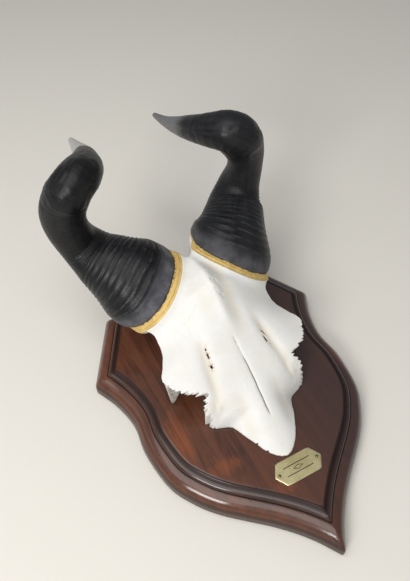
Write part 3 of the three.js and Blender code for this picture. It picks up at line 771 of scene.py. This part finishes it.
def make_band(side, material):
    """The filler swept round the horn's rim, with a hand-laid upper edge."""
    angle = np.linspace(0, 2 * math.pi, BAND_SIDES, endpoint=False)
    seed = BAND_SEEDS[side]
    ring = np.stack([np.cos(angle), np.sin(angle)], -1)
    edge = wave_noise(seed, ring * 7, 1.0, 3)
    lumps = wave_noise(seed + 5, ring * 5, 1.0, 2)
    front = front_share(angle)
    drop = band_drop(front)
    lip, bulge, foot = (band_reach(ends, front) for ends in (BAND_LIP, BAND_BULGE, BAND_FOOT))
    profile = [(-BAND_WALL, -0.6, 0.0), (-0.4, 0.15, 1.0), (0.35, 0.25, 1.0), (0.9, -0.1, 0.8)]
    rows = []
    for grow, lift, uneven in profile:
        rows.append((grow + lip, (lift + uneven * 0.55 * edge) * front - GAP * (1 - front)))
    start = profile[-1][0] + lip
    for k in range(1, BAND_ROWS + 1):
        down = k / BAND_ROWS
        grow = start + (bulge - start) * step(0, 0.5, down) + (foot - bulge) * step(0.5, 1, down)
        rows.append((grow + 0.35 * lumps * math.sin(math.pi * down) * front, -0.1 - (drop - 0.1) * down))
    rows.append((np.full(BAND_SIDES, -BAND_WALL), -drop))
    loops = [base_ring(angle, grow, lift) for grow, lift in rows]
    points = np.vstack(loops) * [side, 1, 1]
    faces = strip(len(loops), BAND_SIDES, closed_rings=True)
    down = np.repeat(np.linspace(0, 1, len(loops)), BAND_SIDES)
    name = sided("gilt_band", side)
    return finished(name + "_gilding", points, faces, material, [name],
                    fields={"down_band": down})


# Plate and pins


def make_plate(material):
    """The six-sided plate with a softened upper edge."""
    half, side, height = PLATE_LENGTH / 2, PLATE_SIDE / 2, PLATE_HEIGHT / 2
    top = np.array([(half, 0), (side, height), (-side, height)])
    corners = np.vstack([top, -top])
    steps = np.linspace(0, 1, 16)[:-1, None]
    ring = eased(np.vstack([a + (b - a) * steps for a, b in zip(corners, np.roll(corners, -1, 0))]))
    loops = [level_ring(ring * (1 - shrink / height), z) for shrink, z in PLATE_EDGE]
    points = np.vstack(loops) + [*PLATE_PLACE, SKULL_BASE]
    return finished("plaque_plate", points, capped(loops), material, ["plaque"], sharp=40)


def make_pin(side, material):
    """A round-headed pin with its shank."""
    angle = np.linspace(0, 2 * math.pi, PIN_SIDES, endpoint=False)
    circle = np.column_stack([np.cos(angle), np.sin(angle)])
    loops = [level_ring(circle * reach, z) for reach, z in PIN_PROFILE]
    x = PLATE_PLACE[0] + side * PIN_SPACING / 2
    points = np.vstack(loops) + [x, PLATE_PLACE[1], SKULL_BASE + PLATE_THICKNESS + GAP]
    name = sided("plaque_pin", side)
    return finished(name + "_brass", points, capped(loops), material, [name], sharp=50)


# Finishes


def tone(code):
    """A colour written as six hex digits, as the linear values that shaders take."""
    parts = [int(code[i:i + 2], 16) / 255 for i in (0, 2, 4)]
    return tuple(p / 12.92 if p <= 0.04045 else ((p + 0.055) / 1.055) ** 2.4 for p in parts) + (1.0,)


class Nodes:
    """A node tree with short calls for what these finishes use."""

    def __init__(self, tree):
        self.tree = tree

    def put(self, value, socket):
        if isinstance(value, bpy.types.NodeSocket):
            self.tree.links.new(value, socket)
        else:
            socket.default_value = value

    def add(self, kind, inputs=None, **settings):
        node = self.tree.nodes.new(kind)
        for name, value in settings.items():
            setattr(node, name, value)
        for name, value in (inputs or {}).items():
            self.put(value, node.inputs[name])
        return node

    def maths(self, operation, a, b=0.0):
        return self.add("ShaderNodeMath", {0: a, 1: b}, operation=operation).outputs[0]

    def plus(self, a, b):
        return self.maths("ADD", a, b)

    def minus(self, a, b):
        return self.maths("SUBTRACT", a, b)

    def times(self, a, b):
        return self.maths("MULTIPLY", a, b)

    def apart(self, a, b):
        return self.maths("ABSOLUTE", self.minus(a, b))

    def vectors(self, operation, a, b=(0.0, 0.0, 0.0)):
        node = self.add("ShaderNodeVectorMath", {0: a, 1: b}, operation=operation)
        return node.outputs["Value" if operation == "LENGTH" else "Vector"]

    def split(self, vector):
        return self.add("ShaderNodeSeparateXYZ", {0: vector}).outputs

    def ramp(self, value, low, high, to_low=0.0, to_high=1.0):
        """A soft step between two results."""
        names = {"Value": value, "From Min": low, "From Max": high, "To Min": to_low, "To Max": to_high}
        return self.add("ShaderNodeMapRange", names, interpolation_type="SMOOTHSTEP").outputs[0]

    def fading(self, value, full, end):
        return self.ramp(value, full, end, 1.0, 0.0)

    def between(self, value, span):
        """1 between the middle two of four values, fading to 0 at the outer two."""
        start, full, fade, end = span
        return self.times(self.ramp(value, start, full), self.fading(value, fade, end))

    def mixed(self, share, a, b):
        node = self.add("ShaderNodeMix", data_type="RGBA")
        for value, socket in zip((share, a, b), (node.inputs[0], node.inputs[6], node.inputs[7])):
            self.put(value, socket)
        return node.outputs[2]

    def field(self, name):
        return self.add("ShaderNodeAttribute", attribute_name=name)

    def number(self, name):
        return self.field(name).outputs["Fac"]

    def noise(self, coords, scale, detail=3.0, roughness=0.5):
        names = {"Vector": coords, "Scale": scale, "Detail": detail, "Roughness": roughness}
        return self.add("ShaderNodeTexNoise", names).outputs["Fac"]

    def stretched(self, coords, scale):
        return self.add("ShaderNodeMapping", {"Vector": coords, "Scale": scale}).outputs[0]

    def effect(self, group, inputs):
        return self.add("ShaderNodeGroup", inputs, node_tree=group).outputs

    def mottle(self, coords, scale, softness):
        names = {"Coordinates": coords, "Scale": scale, "Softness": softness}
        return self.effect(MOTTLE, names)["Patches"]

    def fibres(self, coords, squeeze):
        return self.effect(FIBRES, {"Coordinates": coords, "Squeeze": squeeze})

    def edge_wear(self, coords, scale, start):
        return self.effect(EDGE_WEAR, {"Coordinates": coords, "Scale": scale, "Start": start})["Wear"]

    def bump(self, height, strength, distance_mm):
        names = {"Height": height, "Strength": strength, "Distance": distance_mm * MM}
        return self.add("ShaderNodeBump", names).outputs[0]


def shared_effect(name, numbers, outputs, build):
    """A node group with coordinates, named inputs and outputs, filled by the function build."""
    group = bpy.data.node_groups.new(name, "ShaderNodeTree")
    new_socket = group.interface.new_socket
    new_socket(name="Coordinates", in_out="INPUT", socket_type="NodeSocketVector")
    for label, value in numbers.items():
        kind = "NodeSocketFloat" if isinstance(value, float) else "NodeSocketVector"
        new_socket(name=label, in_out="INPUT", socket_type=kind).default_value = value
    for label in outputs:
        new_socket(name=label, in_out="OUTPUT", socket_type="NodeSocketFloat")
    nodes = Nodes(group)
    given = nodes.add("NodeGroupInput")
    result = nodes.add("NodeGroupOutput")
    for label, socket in build(nodes, given.outputs).items():
        group.links.new(socket, result.inputs[label])
    return group


def build_mottle(nodes, given):
    """Soft uneven patches, 0 to 1."""
    broad = nodes.noise(given["Coordinates"], given["Scale"], 2.0, 0.55)
    finer = nodes.noise(given["Coordinates"], nodes.times(given["Scale"], 4.3), 3.0, 0.6)
    both = nodes.plus(nodes.times(broad, 0.65), nodes.times(finer, 0.35))
    low = nodes.minus(0.5, given["Softness"])
    high = nodes.plus(0.5, given["Softness"])
    return {"Patches": nodes.ramp(both, low, high)}


def build_fibres(nodes, given):
    """Fine lines along one direction: noise squeezed across it."""
    squeezed = nodes.vectors("MULTIPLY", given["Coordinates"], given["Squeeze"])
    coarse = nodes.vectors("MULTIPLY", squeezed, (0.23, 0.23, 0.23))
    return {"Fine": nodes.noise(squeezed, 1.0, 4.0, 0.65), "Bands": nodes.noise(coarse, 1.0, 2.0, 0.5)}


def build_edge_wear(nodes, given):
    """Raised edges rubbed bright, broken up by noise."""
    sharpness = nodes.add("ShaderNodeNewGeometry").outputs["Pointiness"]
    broken = nodes.noise(given["Coordinates"], given["Scale"], 3.0, 0.6)
    lifted = nodes.plus(sharpness, nodes.times(nodes.minus(broken, 0.5), 0.05))
    return {"Wear": nodes.ramp(lifted, given["Start"], nodes.plus(given["Start"], 0.06))}


MOTTLE = shared_effect("mottle", {"Scale": 0.1, "Softness": 0.1}, ["Patches"], build_mottle)
FIBRES = shared_effect("fibres", {"Squeeze": (1.0, 1.0, 1.0)}, ["Fine", "Bands"], build_fibres)
EDGE_WEAR = shared_effect("edge wear", {"Scale": 0.3, "Start": 0.52}, ["Wear"], build_edge_wear)


class Finish(Nodes):
    """A material with its colour so far and its coordinates in millimetres."""

    def __init__(self, name, **constants):
        self.material = bpy.data.materials.new(name)
        self.material.use_nodes = True
        super().__init__(self.material.node_tree)
        self.feed(**constants)
        coords = self.add("ShaderNodeTexCoord").outputs["Object"]
        self.mm = self.vectors("MULTIPLY", coords, (1 / MM, 1 / MM, 1 / MM))

    def feed(self, **values):
        for label, value in values.items():
            self.put(value, self.tree.nodes["Principled BSDF"].inputs[label.replace("_", " ")])

    def base(self, code, other, share):
        self.colour = self.mixed(share, tone(code), tone(other))

    def tint(self, code, mask, strength=None):
        """Turns the colour towards a tone where the mask is high."""
        share = mask if strength is None else self.times(mask, strength)
        self.colour = self.mixed(share, self.colour, tone(code))

    def done(self, rough, normal, **more):
        self.feed(Base_Color=self.colour, Roughness=rough, Normal=normal, **more)
        return self.material


# Painted light: warm glows where light catches the shield's edges: middle and reach on the shield's plan,
# and strength
PAINTED_GLOWS = [
    ((-90.0, -103.0), (14.0, 40.0), 0.75), ((-64.0, -152.0), (26.0, 12.0), 0.5),
    ((-20.0, -196.0), (16.0, 12.0), 0.5), ((124.0, -90.0), (12.0, 60.0), 0.7),
]


def mahogany():
    look = Finish(
        "varnished mahogany", Coat_Roughness=0.13, Coat_IOR=1.5, Specular_IOR_Level=0.2,
    )
    mm = look.mm
    slow = {"Vector": look.stretched(mm, (1, 0.35, 1)), "Scale": 0.012, "Detail": 2.0}
    drift = look.add("ShaderNodeTexNoise", slow).outputs["Color"]
    bent = look.vectors("ADD", mm, look.vectors("MULTIPLY", drift, (34.0, 0.0, 34.0)))
    grain = look.fibres(bent, (0.55, 0.018, 0.55))
    streak = look.ramp(grain["Fine"], 0.34, 0.7)
    pore = look.ramp(look.fibres(mm, (2.4, 0.11, 2.4))["Fine"], 0.60, 0.70)
    look.base("3a1f15", "553021", look.ramp(grain["Bands"], 0.36, 0.66))
    look.tint("6e3f28", streak, 0.4)
    look.tint("180a07", pore, 0.55)
    look.tint("633822", look.mottle(mm, 0.016, 0.14), 0.5)
    # Painted shade and reflection: the wood turns darker and greyer towards the right
    look.tint("2a2224", look.ramp(look.split(mm)[0], -75.0, 75.0), 0.68)
    # Painted light: warm glows where light catches the shield's edges
    for middle, reach, share in PAINTED_GLOWS:
        away = look.vectors("SUBTRACT", mm, (*middle, 0.0))
        away = look.vectors("MULTIPLY", away, (1 / reach[0], 1 / reach[1], 0.0))
        lit_spot = look.ramp(look.vectors("LENGTH", away), 0.2, 1.0, share, 0.0)
        look.tint("8c4a24", lit_spot, look.ramp(streak, 0.0, 1.0, 0.4, 1.0))
    edge = look.number("from_edge")
    # Painted shade: the cove and the bead are darkened, and thin dark lines stand for shadow in the
    # quirks and at the panel's edge
    cove = look.between(edge, COVE_ZONE)
    look.tint("170c0a", cove, 0.7)
    look.tint("1a0d0b", look.between(edge, BEAD_ZONE), 0.6)
    dark = 0.0
    for zone in SHADOW_LINES:
        dark = look.maths("MAXIMUM", dark, look.between(edge, zone))
    look.tint("120705", dark, 0.75)
    # Painted shade: the wall and the underside at the outer edge are darkened
    look.tint("1a0d0a", look.ramp(edge, 0.2, 3.0, 0.7, 0.0))
    coat = look.ramp(cove, 0.0, 1.0, 0.85, 0.1)
    coat = look.times(coat, look.ramp(edge, 0.2, 3.0, 0.35, 1.0))
    look.tint("8a4c2c", look.edge_wear(mm, 0.2, 0.54), 0.4)
    rough = look.ramp(pore, 0.0, 1.0, 0.36, 0.6)
    normal = look.bump(look.minus(1.0, pore), 0.25, 0.12)
    return look.done(rough, normal, Coat_Weight=coat)


# Places of the bone up the shield, where each starts, is full, fades and ends: the seam's own dark line,
# and the bar's face, which is painted shade
SEAM_STAIN = (137.0, 146.0, 214.0, 226.0)
POST_SHADE = (202.0, 206.0, 216.0, 222.0)


def bleached_bone():
    look = Finish(
        "bleached bone", Specular_IOR_Level=0.35, Subsurface_Weight=0.12, Subsurface_Scale=0.004,
        Subsurface_Radius=(1.0, 0.75, 0.5),
    )
    mm = look.mm
    patches = look.mottle(mm, 0.045, 0.12)
    # Painted shade: the bone turns creamier in its low places, mixed with uneven patches
    shade_and_patches = look.plus(look.times(look.number("low"), 0.85), look.times(patches, 0.25))
    look.base("dfdedb", "d7d1c3", shade_and_patches)
    fine = look.fibres(mm, (0.9, 0.16, 0.9))["Fine"]
    look.tint("cfc9bb", look.ramp(fine, 0.58, 0.75, 0.0, 0.25))
    hole = look.number("from_hole")
    patchy_strength = look.ramp(look.noise(mm, 0.5), 0.42, 0.62, 0.0, 0.7)
    look.tint("ad875a", look.fading(hole, 1.2, 4.2), patchy_strength)
    # Painted shade: the small holes are painted near black inside
    look.tint("1c130d", look.fading(hole, 0.75, 1.15))
    up = look.number("up_shield")
    wide = look.ramp(up, 160.0, 205.0, 0.95, 0.5)
    line = look.fading(look.number("from_seam"), 0.3, wide)
    look.tint("3f372d", look.times(line, look.between(up, SEAM_STAIN)), 0.95)
    # Painted shade: the face of the bar behind the eye is greyed below the rim, in patches
    post = look.times(look.between(up, POST_SHADE), look.fading(look.number("height"), 30.0, 36.0))
    patchy_strength = look.ramp(look.noise(mm, 0.25), 0.35, 0.7, 0.35, 0.9)
    look.tint("9b9083", post, patchy_strength)
    # Painted shade: faces turned downwards are greyed
    normal = look.add("ShaderNodeNewGeometry").outputs["Normal"]
    look.tint("b9b0a2", look.fading(look.split(normal)[2], -0.25, 0.15), 0.6)
    spongy = look.noise(mm, 0.9, 3.0, 0.65)
    spongy = look.times(spongy, look.fading(look.number("from_rim"), 0.0, 3.0))
    swell = look.plus(look.times(look.noise(mm, 1.6, 4.0, 0.6), 0.5), look.times(spongy, 1.2))
    cells = {"Vector": look.stretched(mm, (1, 0.3, 1)), "Scale": 0.055}
    cells = look.add("ShaderNodeTexVoronoi", cells, feature="DISTANCE_TO_EDGE")
    vein = look.fading(cells.outputs["Distance"], 0.0, 0.02)
    vein = look.times(vein, look.ramp(look.noise(mm, 0.03, 2.0), 0.52, 0.66))
    look.tint("b8ac98", vein, 0.18)
    swell = look.minus(swell, look.times(vein, 0.4))
    rough = look.ramp(patches, 0.0, 1.0, 0.52, 0.68)
    return look.done(rough, look.bump(swell, 0.45, 0.35))


# Each horn's dark and lighter tone, its rim, its tip, and where up the horn the tip's tone sets in. The
# dark, lighter and rim tones differ between the sides as painted light and shade: the right horn is
# lighter, and the left horn's rim is paler
HORN_TONES = {
    1: ("111113", "1d1d20", "505054", "68696a", (0.8, 0.86)),
    -1: ("09090a", "131315", "64646a", "b4b4b1", (0.846, 0.858)),
}


def black_horn(side):
    name = "black horn " + ("right" if side > 0 else "left")
    look = Finish(name, Specular_IOR_Level=0.22)
    mm = look.mm
    dark, lighter, rim_tone, tip_tone, tip_span = HORN_TONES[side]
    around = look.field("around").outputs["Vector"]
    up = look.number("up_horn")
    fibres = look.fibres(around, (1.1, 1.1, 0.05))
    rings = look.fibres(around, (0.05, 0.05, 0.55))["Fine"]
    look.base(dark, lighter, look.ramp(fibres["Bands"], 0.3, 0.7))
    look.tint("222326", look.mottle(mm, 0.03, 0.13), 0.45)
    # Painted highlight: pale glints along the ridge crests, broken up by noise
    broken_glint = look.ramp(look.noise(mm, 0.09, 3.0, 0.6), 0.4, 0.62)
    glint = look.times(look.ramp(look.number("crest"), 0.5, 1.0), broken_glint)
    look.tint("58595c", glint, 0.4)
    look.tint("3c3d40", look.ramp(rings, 0.55, 0.7, 0.0, 0.3))
    # Painted sheen: the smooth zone by the rim is paler in patches, more so on the left horn
    rim_zone = look.fading(up, 0.025, 0.07)
    patchy_sheen = look.ramp(look.noise(mm, 0.06, 3.0, 0.6), 0.35, 0.62, 0.5, 0.9)
    look.tint(rim_tone, rim_zone, patchy_sheen)
    tip = look.ramp(look.plus(up, look.times(fibres["Bands"], 0.02)), *tip_span)
    look.tint(tip_tone, tip, look.ramp(fibres["Fine"], 0.3, 0.75, 0.8, 1.0))
    rough = look.ramp(fibres["Fine"], 0.3, 0.75, 0.28, 0.44)
    rough = look.plus(rough, look.times(rim_zone, 0.06))
    height = look.plus(look.times(fibres["Fine"], 0.8), rings)
    return look.done(rough, look.bump(height, 0.65, 0.35))


def gilding():
    look = Finish("gilding", Metallic=0.15, Specular_IOR_Level=0.35)
    mm = look.mm
    patches = look.mottle(mm, 0.11, 0.12)
    look.base("bf9f5a", "ccae6d", patches)
    streaks = look.noise(look.stretched(mm, (0.5, 0.5, 1.2)), 0.6)
    look.tint("e9d294", look.ramp(streaks, 0.55, 0.75, 0.0, 0.45))
    down = look.number("down_band")
    fleck = look.ramp(look.noise(mm, 0.45, 3.0, 0.6), 0.53, 0.6, 0.0, 0.9)
    look.tint("2a241c", look.fading(down, 0.16, 0.34), fleck)
    look.tint("a8792c", look.ramp(down, 0.84, 0.95), 0.35)
    rough = look.ramp(patches, 0.0, 1.0, 0.38, 0.55)
    normal = look.bump(look.noise(mm, 0.35), 0.4, 0.5)
    return look.done(rough, normal)


# The marking on the plate: two rules, their distance from the middle and half length, and a
# lozenge between them, its half height and slope
RULE_PLACE, RULE_HALF = 4.4, 15.4
LOZENGE_HALF, LOZENGE_SLOPE = 2.1, 0.4


def pale_brass():
    look = Finish("pale brass", Metallic=0.85)
    mm = look.mm
    brushed = look.fibres(mm, (0.12, 6.0, 1.0))["Fine"]
    look.base("bdb184", "d0c69d", look.mottle(mm, 0.07, 0.14))
    look.tint("b5a775", look.ramp(brushed, 0.35, 0.7, 0.0, 0.35))
    place = look.split(mm)
    across = look.apart(place[0], PLATE_PLACE[0])
    upright = look.apart(place[1], PLATE_PLACE[1] - TIP_TO_ORIGIN)
    rule = look.fading(look.apart(upright, RULE_PLACE), 0.32, 0.55)
    rule = look.times(rule, look.fading(across, RULE_HALF - 0.2, RULE_HALF + 0.2))
    lozenge = look.apart(look.plus(look.times(across, LOZENGE_SLOPE), upright), LOZENGE_HALF)
    lines = look.maths("MAXIMUM", rule, look.fading(lozenge, 0.22, 0.42))
    look.tint("38301f", lines, 0.9)
    look.tint("f0e8c6", look.edge_wear(mm, 0.5, 0.52), 0.5)
    rough = look.ramp(brushed, 0.3, 0.7, 0.3, 0.46)
    normal = look.bump(look.minus(look.times(brushed, 0.3), lines), 0.35, 0.25)
    return look.done(rough, normal)


def dark_brass():
    look = Finish("dark brass", Metallic=0.9)
    mm = look.mm
    patches = look.mottle(mm, 0.8, 0.12)
    look.base("3a3220", "6b5d38", patches)
    look.tint("a99561", look.edge_wear(mm, 1.2, 0.53), 0.5)
    rough = look.ramp(patches, 0.0, 1.0, 0.3, 0.5)
    return look.done(rough, look.bump(patches, 0.2, 0.1))


# Surroundings

# The camera: where it stands, which way it looks, its lens and its sensor's long side
CAMERA_PLACE = (-184.9, -336.5, 575.0)
CAMERA_FORWARD = Vector((0.29815, 0.56215, -0.77142))
CAMERA_LENS = 34.70
CAMERA_SENSOR = 36.0
# The floor, in metres
FLOOR_REACH, FLOOR_DROP = 6.0, 0.0004
SKY_STRENGTH = 0.38
WARM, COOL = (1.0, 0.99, 0.97), (0.98, 0.99, 1.0)
# Each light's name, place and size in metres, power and colour, and what they all face
LIGHTS = [
    ("ceiling", (-0.45, -0.15, 1.55), (1.4, 1.4), 15.5, WARM),
    ("window", (-1.13, -0.8, 0.87), (0.55, 0.45), 13, WARM),
    ("side", (-1.3, 0.4, 0.9), (0.9, 0.7), 1.2, COOL),
]
LIT_PLACE = (0.0, 0.0, 0.06)


def make_camera():
    data = bpy.data.cameras.new("camera")
    data.lens, data.sensor_width, data.sensor_fit = CAMERA_LENS, CAMERA_SENSOR, "AUTO"
    data.clip_start, data.clip_end = 0.01, 50.0
    bpy.context.scene.camera = placed("camera", data, Vector(CAMERA_PLACE) * MM, CAMERA_FORWARD)


def make_light(name, place, size, power, colour):
    data = bpy.data.lights.new(name, "AREA")
    data.shape, data.size, data.size_y = "RECTANGLE", size[0], size[1]
    data.energy, data.color = power, colour
    placed(name, data, place, Vector(LIT_PLACE) - Vector(place))


def make_floor():
    mesh = bpy.data.meshes.new("floor")
    corners = [(-1, -1), (1, -1), (1, 1), (-1, 1)]
    points = [(x * FLOOR_REACH, y * FLOOR_REACH, -FLOOR_DROP) for x, y in corners]
    mesh.from_pydata(points, [], [(0, 1, 2, 3)])
    mesh.materials.append(Finish("pale floor", Base_Color=tone("dcd8d0"), Roughness=0.75).material)
    placed("floor", mesh)


def make_surroundings():
    make_floor()
    world = bpy.data.worlds.new("studio")
    world.use_nodes = True
    sky = world.node_tree.nodes["Background"]
    sky.inputs["Color"].default_value = tone("eef0f2")
    sky.inputs["Strength"].default_value = SKY_STRENGTH
    bpy.context.scene.world = world
    bpy.context.scene.view_settings.view_transform = "Standard"
    for light in LIGHTS:
        make_light(*light)
    make_camera()


bone, wood = bleached_bone(), mahogany()
gold, brass, old_brass = gilding(), pale_brass(), dark_brass()
make_shield(wood)
make_skull(bone)
for side in (1, -1):
    make_horn(side, black_horn(side))
    make_band(side, gold)
    make_pin(side, old_brass)
make_plate(brass)
make_surroundings()
bpy.context.view_layer.update()
